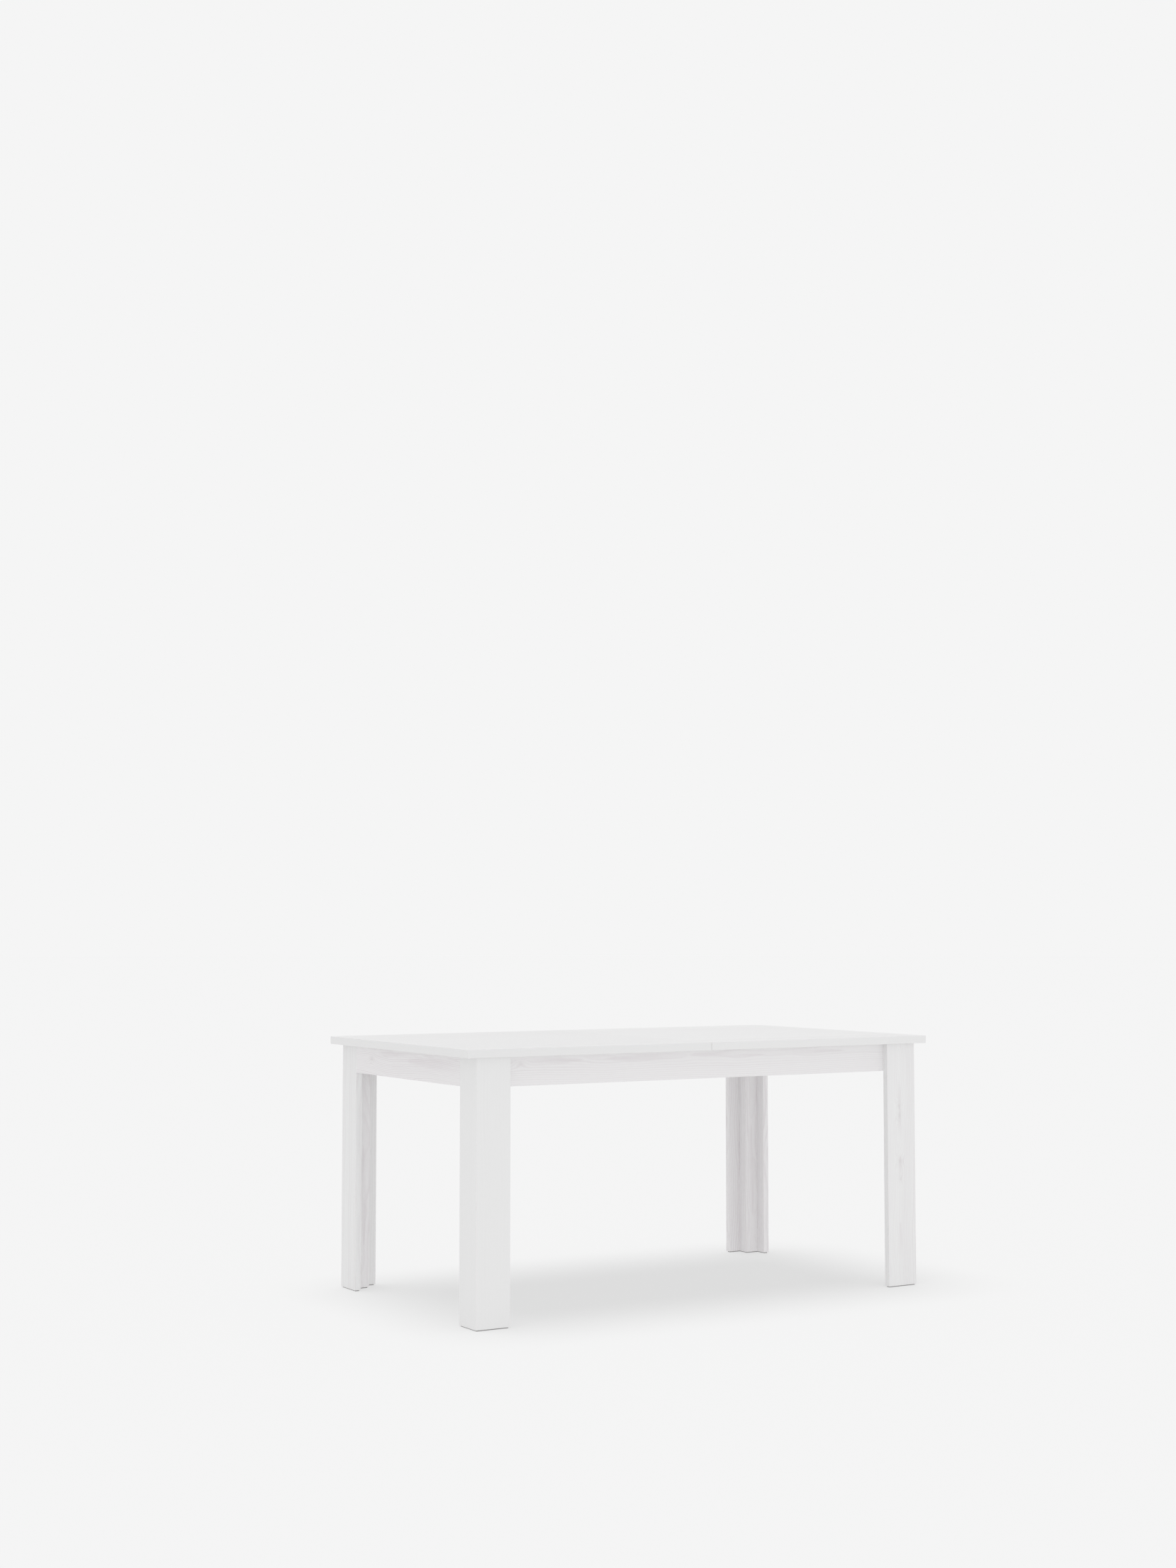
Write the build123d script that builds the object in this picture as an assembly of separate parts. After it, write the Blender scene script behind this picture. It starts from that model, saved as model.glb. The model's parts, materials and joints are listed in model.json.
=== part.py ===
"""Extending dining table in whitened pine: fixed L-shaped corner legs and aprons, a top in two halves
that slide apart on steel runners, and a loose insert leaf stored lengthwise under the top.

Millimetres. Origin on the floor under the middle of the table, +X along the long side, +Z up.
"""

import os
from math import pi, sqrt, tan

from build123d import *

# ---------------------------------------------------------------- driving dimensions
LENGTH = 1600.0  # closed top, along X
WIDTH = 900.0  # top, along Y
HEIGHT = 760.0
TOP_THICKNESS = 23.0
SEAM_GAP = 0.8  # between the two closed halves
END_OVERHANG = 35.0  # top beyond the legs, at each end
SIDE_OVERHANG = 15.0  # top beyond the legs, at the front and back

BOARD = 20.0  # leg and apron boards
LEG_FACE_WIDTH = 106.0  # leg board seen from the front
LEG_SIDE_WIDTH = 98.0  # leg board seen from the end, with its mitre
BLOCK_X = 45.0  # filler block inside the leg's corner
BLOCK_Y = 40.0
PAD_THICKNESS = 3.0  # foot pad between leg and floor
PAD_INSET = 4.0
APRON_BOTTOM = 654.0
TOP_CLEARANCE = 1.0  # frame to sliding top
EDGE_RADIUS = 1.0
FINE_RADIUS = 0.6

OPENING = 400.0  # gap for the insert leaf when both halves are out
TRAVEL = OPENING / 2
LEAF_THICKNESS = TOP_THICKNESS
LEAF_BOTTOM = 684.0

END_RAIL_THICKNESS = 22.0
END_RAIL_BOTTOM = 658.0
END_RAIL_TOP = 732.0
BEARER_X = 300.0
BEARER_THICKNESS = 22.0
BEARER_BOTTOM = 658.0
LEAF_REST_GAP = 0.1

STEEL = 2.0
RAIL_LENGTH = 1390.0
RAIL_BOTTOM = 698.0
RAIL_HEIGHT = 30.0
RAIL_DEPTH = 18.0
RAIL_LIP = 5.0
SLIDER_CLEARANCE = 0.3
SLIDER_LENGTH = 40.0
RUNNER_WEB_OUT = 22.0  # runner web's outer face, from the apron
RUNNER_FLANGE = 28.0
RUNNER_INNER_END = 60.0  # runner's end nearest the seam, closed
TONGUE_Z = 712.0
TONGUE_DEPTH = 15.0
STOP_LENGTH = 4.0

BATTEN_WIDTH = 60.0
BATTEN_THICKNESS = 18.0
BATTEN_LENGTH = 680.0
BATTEN_X = (100.0, 420.0)

DOWEL_DIAMETER = 8.0
DOWEL_CLEARANCE = 0.1
DOWEL_OUT = 14.0
DOWEL_IN = 20.0
DOWEL_Y = (-380.0, -130.0, 130.0, 380.0)

LATCH_Y = 290.0
LATCH_PIVOT_X = -22.0
LATCH_REACH = 44.0  # pivot to keeper stud
LATCH_WIDTH = 18.0
LATCH_THICKNESS = 3.0
LATCH_PIN = 6.0
LATCH_HEAD = 11.0
LATCH_SLOT_CLEARANCE = 0.4

APRON_SCREW = 35.0  # screw lengths
BRACKET_SCREW = 16.0

BRACE_THICKNESS = 2.5
BRACE_BOTTOM = 658.0
BRACE_HEIGHT = 36.0
BRACE_FLANGE = 30.0
BRACE_REACH = 45.0  # from the block's faces out to where the brace leaves apron and rail

# ---------------------------------------------------------------- derived places
LEG_X = LENGTH / 2 - END_OVERHANG
LEG_Y = WIDTH / 2 - SIDE_OVERHANG
FRAME_TOP = HEIGHT - TOP_THICKNESS - TOP_CLEARANCE
TOP_UNDERSIDE = HEIGHT - TOP_THICKNESS
BLOCK_INNER_X = LEG_X - BOARD - BLOCK_X
BLOCK_INNER_Y = LEG_Y - BOARD - BLOCK_Y
APRON_FACE_Y = LEG_Y - BOARD
APRON_INNER_Y = APRON_FACE_Y - BOARD
END_RAIL_FACE_X = LEG_X - BOARD
END_RAIL_INNER_X = END_RAIL_FACE_X - END_RAIL_THICKNESS
RUNNER_LENGTH = RAIL_LENGTH / 2 - STOP_LENGTH - TRAVEL - RUNNER_INNER_END
RUNNER_WEB_Y = APRON_INNER_Y - RUNNER_WEB_OUT

LEFT, RIGHT = -1, 1
FRONT, BACK = -1, 1
CORNERS = {
    "front_left": (LEFT, FRONT),
    "front_right": (RIGHT, FRONT),
    "back_left": (LEFT, BACK),
    "back_right": (RIGHT, BACK),
}


# ---------------------------------------------------------------- helpers
def box_between(x, y, z):
    """A box given its (low, high) pair along each axis."""
    size = (x[1] - x[0], y[1] - y[0], z[1] - z[0])
    centre = ((x[0] + x[1]) / 2, (y[0] + y[1]) / 2, (z[0] + z[1]) / 2)
    return Pos(*centre) * Box(*size)


def rounded(solid, radius):
    """The solid with every edge rounded."""
    return fillet(solid.edges(), radius)


def rod(start, direction, diameter, length):
    """A cylinder from a start point along a direction."""
    return Plane(origin=start, z_dir=direction) * Cylinder(
        diameter / 2, length, align=(Align.CENTER, Align.CENTER, Align.MIN)
    )


def countersunk_screw(head, direction, length, diameter=4.0, head_diameter=8.0):
    """A wood screw whose flat head is flush at the head point, going in along direction."""
    depth = (head_diameter - diameter) / 2
    plane = Plane(origin=head, z_dir=direction)
    bottom_align = (Align.CENTER, Align.CENTER, Align.MIN)
    cone = plane * Cone(head_diameter / 2, diameter / 2, depth, align=bottom_align)
    shank = plane * Cylinder(diameter / 2, length, align=bottom_align)
    return cone + shank


def pan_screw(seat, direction, length, diameter=4.0, head_diameter=8.0, head_height=2.4):
    """A pan-head screw: the head stands proud of the seat, the shank goes in along direction."""
    shank = rod(seat, direction, diameter, length)
    head = rod(seat, -Vector(*direction), head_diameter, head_height)
    top_edge = head.edges().filter_by(GeomType.CIRCLE).sort_by(Axis((0, 0, 0), tuple(direction)))[0]
    return fillet(top_edge, head_height / 3) + shank


def to_corner(solid, x_side, y_side):
    """A solid drawn for the back right corner, mirrored to another corner."""
    if x_side == LEFT:
        solid = mirror(solid, about=Plane.YZ)
    if y_side == FRONT:
        solid = mirror(solid, about=Plane.XZ)
    return solid


def cut(solid, tools):
    """The solid with every tool taken out of it."""
    for tool in tools:
        solid = solid - tool
    return solid


def write(name, solids):
    """One STEP file per node; several solids make one group."""
    solids = list(solids) if isinstance(solids, (list, tuple)) else [solids]
    bodies = [body for item in solids for body in item.solids()]
    shape = bodies[0] if len(bodies) == 1 else Compound(children=bodies)
    shape.label = name
    export_step(shape, f"parts/{name}.step")


# ---------------------------------------------------------------- legs
def leg_boards():
    """The face and side boards of the back right leg, mitred at the outer corner."""
    outer_x = LEG_X
    outer_y = LEG_Y
    inner_x = outer_x - BOARD
    inner_y = outer_y - BOARD
    face_end = outer_x - LEG_FACE_WIDTH
    side_end = outer_y - LEG_SIDE_WIDTH
    outline = Polyline(
        (outer_x, outer_y),
        (face_end, outer_y),
        (face_end, inner_y),
        (inner_x, inner_y),
        (inner_x, side_end),
        (outer_x, side_end),
        close=True,
    )
    profile = Pos(0, 0, PAD_THICKNESS) * extrude(make_face(outline), FRAME_TOP - PAD_THICKNESS)
    inner_corner = Vector(inner_x, inner_y, 0)
    outer_edges = [
        edge for edge in profile.edges().filter_by(Axis.Z)
        if (Vector(edge.center().X, edge.center().Y, 0) - inner_corner).length > EDGE_RADIUS
    ]
    profile = fillet(outer_edges, EDGE_RADIUS)
    mitre = Plane(origin=(outer_x, outer_y, 0), x_dir=(0, 0, 1), z_dir=(1, -1, 0))
    side = split(profile, bisect_by=mitre, keep=Keep.TOP)
    face = split(profile, bisect_by=mitre, keep=Keep.BOTTOM)
    return face, side


def leg_block():
    """The square filler block glued inside the corner of the back right leg."""
    return box_between(
        (BLOCK_INNER_X, LEG_X - BOARD), (BLOCK_INNER_Y, LEG_Y - BOARD), (PAD_THICKNESS, FRAME_TOP)
    )


def foot_pad():
    """The thin pad glued under the back right leg, a little smaller than the boards and block."""
    inner_x = LEG_X - BOARD + PAD_INSET
    inner_y = LEG_Y - BOARD + PAD_INSET
    outer_x = LEG_X - PAD_INSET
    outer_y = LEG_Y - PAD_INSET
    face_end = LEG_X - LEG_FACE_WIDTH + PAD_INSET
    side_end = LEG_Y - LEG_SIDE_WIDTH + PAD_INSET
    block_x = BLOCK_INNER_X + PAD_INSET
    block_y = BLOCK_INNER_Y + PAD_INSET
    outline = Polyline(
        (outer_x, outer_y),
        (face_end, outer_y),
        (face_end, inner_y),
        (block_x, inner_y),
        (block_x, block_y),
        (inner_x, block_y),
        (inner_x, side_end),
        (outer_x, side_end),
        close=True,
    )
    return extrude(make_face(outline), PAD_THICKNESS)


def leg_bolt():
    """The diagonal hanger bolt that pulls the back right leg against its brace, and its nut."""
    bolt_diameter = 8.0
    bolt_in = 30.0
    nut_across_corners = 15.0
    nut_height = 6.5
    thread_beyond_nut = 4.0
    z = BRACE_BOTTOM + BRACE_HEIGHT / 2
    inward = Vector(-1, -1, 0).normalized()
    corner = Vector(BLOCK_INNER_X, BLOCK_INNER_Y, z)
    brace_distance = brace_gap()
    start = corner - inward * bolt_in
    reach = bolt_in + brace_distance + BRACE_THICKNESS + nut_height + thread_beyond_nut
    bolt = rod(start, inward, bolt_diameter, reach)
    seat = corner + inward * (brace_distance + BRACE_THICKNESS)
    hexagon = extrude(RegularPolygon(nut_across_corners / 2, 6), nut_height)
    nut = Plane(origin=seat, z_dir=inward) * hexagon - bolt
    return bolt, nut


# ---------------------------------------------------------------- corner braces
def brace_ends():
    """Where the brace's diagonal meets the long apron and the end rail, at the back right."""
    on_apron = Vector(BLOCK_INNER_X - BRACE_REACH, APRON_INNER_Y)
    on_rail = Vector(END_RAIL_INNER_X, BLOCK_INNER_X - BRACE_REACH + APRON_INNER_Y - END_RAIL_INNER_X)
    return on_apron, on_rail


def brace_gap():
    """Free distance from the block's inner corner to the brace, along the diagonal."""
    on_apron, _ = brace_ends()
    sum_at_corner = BLOCK_INNER_X + BLOCK_INNER_Y
    sum_at_brace = on_apron.X + on_apron.Y
    return (sum_at_corner - sum_at_brace) / sqrt(2)


def corner_brace():
    """A bent steel plate across the back right corner, behind the leg."""
    on_apron, on_rail = brace_ends()
    apron_end = on_apron + Vector(-BRACE_FLANGE, 0)
    rail_end = on_rail + Vector(0, -BRACE_FLANGE)
    turn = BRACE_THICKNESS * tan(pi / 8)
    outline = Polyline(
        (apron_end.X, apron_end.Y),
        (on_apron.X, on_apron.Y),
        (on_rail.X, on_rail.Y),
        (rail_end.X, rail_end.Y),
        (rail_end.X - BRACE_THICKNESS, rail_end.Y),
        (on_rail.X - BRACE_THICKNESS, on_rail.Y - turn),
        (on_apron.X - turn, on_apron.Y - BRACE_THICKNESS),
        (apron_end.X, apron_end.Y - BRACE_THICKNESS),
        close=True,
    )
    plate = Pos(0, 0, BRACE_BOTTOM) * extrude(make_face(outline), BRACE_HEIGHT)
    bolt, _ = leg_bolt()
    return cut(plate, [bolt, *brace_screws()])


def brace_screws():
    """Two screws through each flange of the back right brace."""
    on_apron, on_rail = brace_ends()
    inset = 9.0
    screws = []
    for z in (BRACE_BOTTOM + inset, BRACE_BOTTOM + BRACE_HEIGHT - inset):
        apron_seat = (on_apron.X - BRACE_FLANGE / 2, on_apron.Y - BRACE_THICKNESS, z)
        rail_seat = (on_rail.X - BRACE_THICKNESS, on_rail.Y - BRACE_FLANGE / 2, z)
        screws.append(pan_screw(apron_seat, (0, 1, 0), BRACKET_SCREW))
        screws.append(pan_screw(rail_seat, (1, 0, 0), BRACKET_SCREW))
    return screws


# ---------------------------------------------------------------- aprons, end rails, bearers
def long_apron():
    """The back apron: it laps behind the legs' face boards and stops at their blocks."""
    board = box_between(
        (-BLOCK_INNER_X, BLOCK_INNER_X), (APRON_INNER_Y, APRON_FACE_Y), (APRON_BOTTOM, FRAME_TOP)
    )
    return fillet(board.edges().filter_by(Axis.X), EDGE_RADIUS)


def apron_screws():
    """Screws from inside the back apron into the right leg's face board."""
    x = BLOCK_INNER_X - 12.0
    heights = (APRON_BOTTOM + 11.0, FRAME_TOP - 4.5)
    return [countersunk_screw((x, APRON_INNER_Y, z), (0, 1, 0), APRON_SCREW) for z in heights]


def end_apron():
    """The right end apron, flush with the legs' side boards and butted between them."""
    half = LEG_Y - LEG_SIDE_WIDTH
    board = box_between((END_RAIL_FACE_X, LEG_X), (-half, half), (APRON_BOTTOM, FRAME_TOP))
    return rounded(board, FINE_RADIUS)


def end_rail():
    """The inner rail behind the right end apron, from leg block to leg block."""
    return box_between(
        (END_RAIL_INNER_X, END_RAIL_FACE_X),
        (-BLOCK_INNER_Y, BLOCK_INNER_Y),
        (END_RAIL_BOTTOM, END_RAIL_TOP),
    )


def end_apron_screws():
    """Screws from inside the right end rail into the end apron."""
    z = (END_RAIL_BOTTOM + END_RAIL_TOP) / 2
    return [
        countersunk_screw((END_RAIL_INNER_X, y, z), (1, 0, 0), APRON_SCREW)
        for y in (-270, -90, 90, 270)
    ]


def leaf_bearer():
    """The right cross rail between the long aprons, which carries the stored leaf."""
    rail = box_between(
        (BEARER_X - BEARER_THICKNESS / 2, BEARER_X + BEARER_THICKNESS / 2),
        (-APRON_INNER_Y, APRON_INNER_Y),
        (BEARER_BOTTOM, LEAF_BOTTOM - LEAF_REST_GAP),
    )
    return fillet(rail.edges().filter_by(Axis.Y), EDGE_RADIUS)


def bearer_bracket():
    """Steel angle between the right bearer's inner side and the back apron."""
    leg = 22.0
    height = 18.0
    x = BEARER_X - BEARER_THICKNESS / 2
    y = APRON_INNER_Y
    z = (BEARER_BOTTOM + 4.0, BEARER_BOTTOM + 4.0 + height)
    on_bearer = box_between((x - STEEL, x), (y - leg, y), z)
    on_apron = box_between((x - leg, x), (y - STEEL, y), z)
    return on_bearer + on_apron


def bearer_screws():
    """The two screws of the back right bearer bracket."""
    offset = 13.0
    x = BEARER_X - BEARER_THICKNESS / 2
    z = BEARER_BOTTOM + 13.0
    into_bearer = pan_screw((x - STEEL, APRON_INNER_Y - offset, z), (1, 0, 0), BRACKET_SCREW)
    into_apron = pan_screw((x - offset, APRON_INNER_Y - STEEL, z), (0, 1, 0), BRACKET_SCREW)
    return [into_bearer, into_apron]


# ---------------------------------------------------------------- slide rails and runners
def rail_profile(along_x, y_outer, z_bottom):
    """A lipped steel channel that opens towards the middle of the table, for the back side."""
    y_open = y_outer - RAIL_DEPTH
    z_top = z_bottom + RAIL_HEIGHT
    web = box_between(along_x, (y_outer - STEEL, y_outer), (z_bottom, z_top))
    bottom = box_between(along_x, (y_open, y_outer), (z_bottom, z_bottom + STEEL))
    top = box_between(along_x, (y_open, y_outer), (z_top - STEEL, z_top))
    low_lip = box_between(along_x, (y_open, y_open + STEEL), (z_bottom, z_bottom + RAIL_LIP))
    high_lip = box_between(along_x, (y_open, y_open + STEEL), (z_top - RAIL_LIP, z_top))
    return web + bottom + top + low_lip + high_lip


def slide_rail():
    """The fixed channel on the inside of the back apron, full length."""
    half = RAIL_LENGTH / 2
    return rail_profile((-half, half), APRON_INNER_Y, RAIL_BOTTOM)


def rail_screws():
    """Countersunk screws through the back channel's web into the apron."""
    length = 17.0
    z = RAIL_BOTTOM + RAIL_HEIGHT / 2
    y = APRON_INNER_Y - STEEL
    return [countersunk_screw((x, y, z), (0, 1, 0), length) for x in (-650, -220, 220, 650)]


def rail_cavity():
    """Low and high (y, z) corners of the clear space inside the back channel."""
    y = (APRON_INNER_Y - RAIL_DEPTH + STEEL, APRON_INNER_Y - STEEL)
    z = (RAIL_BOTTOM + STEEL, RAIL_BOTTOM + RAIL_HEIGHT - STEEL)
    return y, z


def rail_stop():
    """The nylon end stop that fills the right end of the back channel."""
    y, z = rail_cavity()
    end = RAIL_LENGTH / 2
    return box_between((end - STOP_LENGTH, end), y, z)


def runner():
    """The moving Z-section under the right half of the top, at the back."""
    x = (RUNNER_INNER_END, RUNNER_INNER_END + RUNNER_LENGTH)
    web_y = (RUNNER_WEB_Y, RUNNER_WEB_Y + STEEL)
    flange = box_between(
        x, (web_y[1] - RUNNER_FLANGE, web_y[1]), (TOP_UNDERSIDE - STEEL, TOP_UNDERSIDE)
    )
    web = box_between(x, web_y, (TONGUE_Z, TOP_UNDERSIDE))
    tongue = box_between(x, (web_y[0], web_y[0] + TONGUE_DEPTH), (TONGUE_Z, TONGUE_Z + STEEL))
    return flange + web + tongue


def sliders():
    """The two nylon blocks on the back right runner's tongue, which run in the channel."""
    y, z = rail_cavity()
    y = (y[0] + SLIDER_CLEARANCE, y[1] - SLIDER_CLEARANCE)
    z = (z[0] + SLIDER_CLEARANCE, z[1] - SLIDER_CLEARANCE)
    outer_end = RUNNER_INNER_END + RUNNER_LENGTH
    blocks = []
    for x0 in (RUNNER_INNER_END, outer_end - SLIDER_LENGTH):
        block = box_between((x0, x0 + SLIDER_LENGTH), y, z)
        block = fillet(block.edges().filter_by(Axis.X), FINE_RADIUS)
        blocks.append(block - runner())
    return blocks


def runner_screws():
    """Screws up through the back right runner's flange into the top."""
    length = 18.0
    inset = 30.0
    y = RUNNER_WEB_Y + STEEL - RUNNER_FLANGE / 2
    z = TOP_UNDERSIDE - STEEL
    first = RUNNER_INNER_END + inset
    last = RUNNER_INNER_END + RUNNER_LENGTH - inset
    return [pan_screw((x, y, z), (0, 0, 1), length) for x in (first, (first + last) / 2, last)]


# ---------------------------------------------------------------- top halves
def dowel_rods(x_start, direction, length, ys):
    """A row of dowel cylinders along X at the middle of the top's thickness."""
    z = HEIGHT - TOP_THICKNESS / 2
    return [rod((x_start, y, z), (direction, 0, 0), DOWEL_DIAMETER, length) for y in ys]


def dowel_holes(x_start, direction, ys, z):
    """The clearance holes that such dowels slide into."""
    spare_depth = 2.0
    diameter = DOWEL_DIAMETER + 2 * DOWEL_CLEARANCE
    depth = DOWEL_OUT + spare_depth
    return [rod((x_start, y, z), (direction, 0, 0), diameter, depth) for y in ys]


def seam_dowels():
    """Dowels glued in the left half that locate the right half when the top closes."""
    seam = -SEAM_GAP / 2
    rods = dowel_rods(seam - DOWEL_IN, 1, DOWEL_IN + DOWEL_OUT, DOWEL_Y)
    ends = [rod_.edges().filter_by(GeomType.CIRCLE).sort_by(Axis.X)[-1] for rod_ in rods]
    return [chamfer(end, EDGE_RADIUS) for end in ends]


def batten(x):
    """A cross batten under the right half of the top."""
    plank = box_between(
        (x - BATTEN_WIDTH / 2, x + BATTEN_WIDTH / 2),
        (-BATTEN_LENGTH / 2, BATTEN_LENGTH / 2),
        (TOP_UNDERSIDE - BATTEN_THICKNESS, TOP_UNDERSIDE),
    )
    bottom_edges = plank.edges().group_by(Axis.Z)[0]
    return fillet(bottom_edges, EDGE_RADIUS)


def batten_screws(x):
    """Countersunk screws up through a batten into the top."""
    length = 34.0
    z = TOP_UNDERSIDE - BATTEN_THICKNESS
    return [countersunk_screw((x, y, z), (0, 0, 1), length) for y in (-300, -100, 100, 300)]


def top_blank(side):
    """One half of the top, with its edges eased."""
    x = sorted((side * SEAM_GAP / 2, side * LENGTH / 2))
    panel = box_between(x, (-WIDTH / 2, WIDTH / 2), (TOP_UNDERSIDE, HEIGHT))
    seam_face = panel.faces().sort_by(Axis.X)[0 if side == RIGHT else -1]
    panel = fillet(panel.edges() - seam_face.edges(), EDGE_RADIUS)
    seam_face = panel.faces().sort_by(Axis.X)[0 if side == RIGHT else -1]
    return fillet(seam_face.edges(), FINE_RADIUS)


# ---------------------------------------------------------------- latches
def latch_plates():
    """The two plates under the left half that carry the latch pivots."""
    plates = []
    for y in (-LATCH_Y, LATCH_Y):
        plate = Pos(LATCH_PIVOT_X, y, TOP_UNDERSIDE - STEEL / 2) * Box(32, 44, STEEL)
        plates.append(fillet(plate.edges().filter_by(Axis.Z), 4.0))
    return plates


def headed_pin(x, y):
    """A pin that hangs from a plate and ends in a flat head, with the latch lever between."""
    head_height = 2.0
    head_top = TOP_UNDERSIDE - STEEL - LATCH_THICKNESS - 2 * LATCH_SLOT_CLEARANCE
    pin = rod((x, y, head_top), (0, 0, 1), LATCH_PIN, TOP_UNDERSIDE - STEEL - head_top)
    head = rod((x, y, head_top - head_height), (0, 0, 1), LATCH_HEAD, head_height)
    head = fillet(head.edges().group_by(Axis.Z)[0], head_height / 3)
    return pin + head


def latch_pivots():
    """The two pivot pins of the latches."""
    return [headed_pin(LATCH_PIVOT_X, y) for y in (-LATCH_Y, LATCH_Y)]


def latch_keepers():
    """The two keeper plates under the right half, each with its headed stud."""
    x = LATCH_PIVOT_X + LATCH_REACH
    keepers = []
    for y in (-LATCH_Y, LATCH_Y):
        plate = Pos(x, y, TOP_UNDERSIDE - STEEL / 2) * Box(28, 44, STEEL)
        keepers.append(fillet(plate.edges().filter_by(Axis.Z), 4.0) + headed_pin(x, y))
    return keepers


def latch_plate_screws(x):
    """Four countersunk screws, two in each plate at this x."""
    length = 14.0
    offset = 16.0
    z = TOP_UNDERSIDE - STEEL
    ys = [side * LATCH_Y + step for side in (-1, 1) for step in (-offset, offset)]
    return [countersunk_screw((x, y, z), (0, 0, 1), length, 3.0, 6.0) for y in ys]


def latch_lever():
    """The front latch lever, unhooked and parallel to the seam: a steel bar with a side slot
    that swings round the keeper stud, and a down-turned finger tab behind the pivot."""
    half = LATCH_WIDTH / 2
    tip = LATCH_REACH + 10.0
    tab_end = -27.0
    tab_depth = 14.0
    slot_half = LATCH_PIN / 2 + LATCH_SLOT_CLEARANCE
    bar = Pos((tip + tab_end) / 2, 0) * Rectangle(tip - tab_end, LATCH_WIDTH)
    bar = fillet(bar.vertices().sort_by(Axis.X)[-2:], half / 2)
    sweep_band = Circle(LATCH_REACH + slot_half) - Circle(LATCH_REACH - slot_half)
    leading_side = Pos(LATCH_REACH, half) * Rectangle(LATCH_WIDTH, LATCH_WIDTH)
    slot_end = Pos(LATCH_REACH, 0) * Circle(slot_half)
    pivot_hole = Circle(LATCH_PIN / 2 + DOWEL_CLEARANCE)
    blade = extrude(bar - (sweep_band & leading_side) - slot_end - pivot_hole, LATCH_THICKNESS)
    tab = box_between((tab_end, tab_end + LATCH_THICKNESS), (-half, half), (-tab_depth, 0))
    tab = fillet(tab.edges().filter_by(Axis.X).sort_by(Axis.Z)[:2], half / 2)
    lever = blade + tab
    z = TOP_UNDERSIDE - STEEL - LATCH_THICKNESS - LATCH_SLOT_CLEARANCE
    return Pos(LATCH_PIVOT_X, -LATCH_Y, z) * Rot(0, 0, -90) * lever


# ---------------------------------------------------------------- insert leaf, stored lengthwise
def leaf_panel():
    """The insert leaf, lying flat on the bearers with its long side along X."""
    panel = box_between(
        (-WIDTH / 2, WIDTH / 2),
        (-OPENING / 2 + SEAM_GAP / 2, OPENING / 2 - SEAM_GAP / 2),
        (LEAF_BOTTOM, LEAF_BOTTOM + LEAF_THICKNESS),
    )
    panel = rounded(panel, EDGE_RADIUS)
    z = LEAF_BOTTOM + LEAF_THICKNESS / 2
    spare_depth = 2.0
    depth = DOWEL_OUT + spare_depth
    hole = DOWEL_DIAMETER + 2 * DOWEL_CLEARANCE
    y = OPENING / 2 - SEAM_GAP / 2
    holes = [rod((x, y, z), (0, -1, 0), hole, depth) for x in DOWEL_Y]
    return cut(panel, [*holes, *leaf_dowels()])


def leaf_dowels():
    """The leaf's own dowels, glued in its other long side."""
    z = LEAF_BOTTOM + LEAF_THICKNESS / 2
    y = -(OPENING / 2 - SEAM_GAP / 2) + DOWEL_IN
    rods = [rod((x, y, z), (0, -1, 0), DOWEL_DIAMETER, DOWEL_IN + DOWEL_OUT) for x in DOWEL_Y]
    ends = [rod_.edges().filter_by(GeomType.CIRCLE).sort_by(Axis.Y)[0] for rod_ in rods]
    return [chamfer(end, EDGE_RADIUS) for end in ends]


# ---------------------------------------------------------------- assembly
def write_legs():
    face, side = leg_boards()
    block = leg_block()
    bolt, nut = leg_bolt()
    brace = corner_brace()
    face = cut(face, apron_screws())
    block = cut(block, [bolt])
    pads, bolts, nuts = [], [], []
    for corner, (x_side, y_side) in CORNERS.items():
        write(f"{corner}_leg_face", to_corner(face, x_side, y_side))
        write(f"{corner}_leg_side", to_corner(side, x_side, y_side))
        write(f"{corner}_leg_block", to_corner(block, x_side, y_side))
        write(f"{corner}_corner_brace", to_corner(brace, x_side, y_side))
        pads.append(to_corner(foot_pad(), x_side, y_side))
        bolts.append(to_corner(bolt, x_side, y_side))
        nuts.append(to_corner(nut, x_side, y_side))
    write("foot_pads", pads)
    write("leg_bolts", bolts)
    write("leg_nuts", nuts)


def write_frame():
    right_screws = [*apron_screws(), *brace_screws(), *bearer_screws()]
    left_screws = [to_corner(screw, LEFT, BACK) for screw in right_screws]
    apron = cut(long_apron(), [*right_screws, *left_screws, *rail_screws()])
    write("back_apron", apron)
    write("front_apron", to_corner(apron, RIGHT, FRONT))
    front_brace_screws = [to_corner(screw, RIGHT, FRONT) for screw in brace_screws()]
    write_pair("end_apron", cut(end_apron(), end_apron_screws()))
    rail = cut(end_rail(), [*end_apron_screws(), *brace_screws(), *front_brace_screws])
    write_pair("end_rail", rail)
    front_bearer_screws = [to_corner(screw, RIGHT, FRONT) for screw in bearer_screws()]
    bearer = cut(leaf_bearer(), [*bearer_screws(), *front_bearer_screws])
    write_pair("leaf_bearer", bearer)
    bracket = cut(bearer_bracket(), bearer_screws())
    corners = CORNERS.values()
    write("bearer_brackets", [to_corner(bracket, *corner) for corner in corners])
    small = [*brace_screws(), *bearer_screws()]
    write("bracket_screws", [to_corner(screw, *corner) for corner in corners for screw in small])
    large = [to_corner(screw, *corner) for corner in corners for screw in apron_screws()]
    ends = ((LEFT, BACK), (RIGHT, BACK))
    large += [to_corner(screw, *end) for end in ends for screw in end_apron_screws()]
    write("apron_screws", large)


def write_pair(name, right_solid):
    """The same solid at the right and, mirrored, at the left end."""
    write(f"right_{name}", right_solid)
    write(f"left_{name}", to_corner(right_solid, LEFT, BACK))


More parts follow.
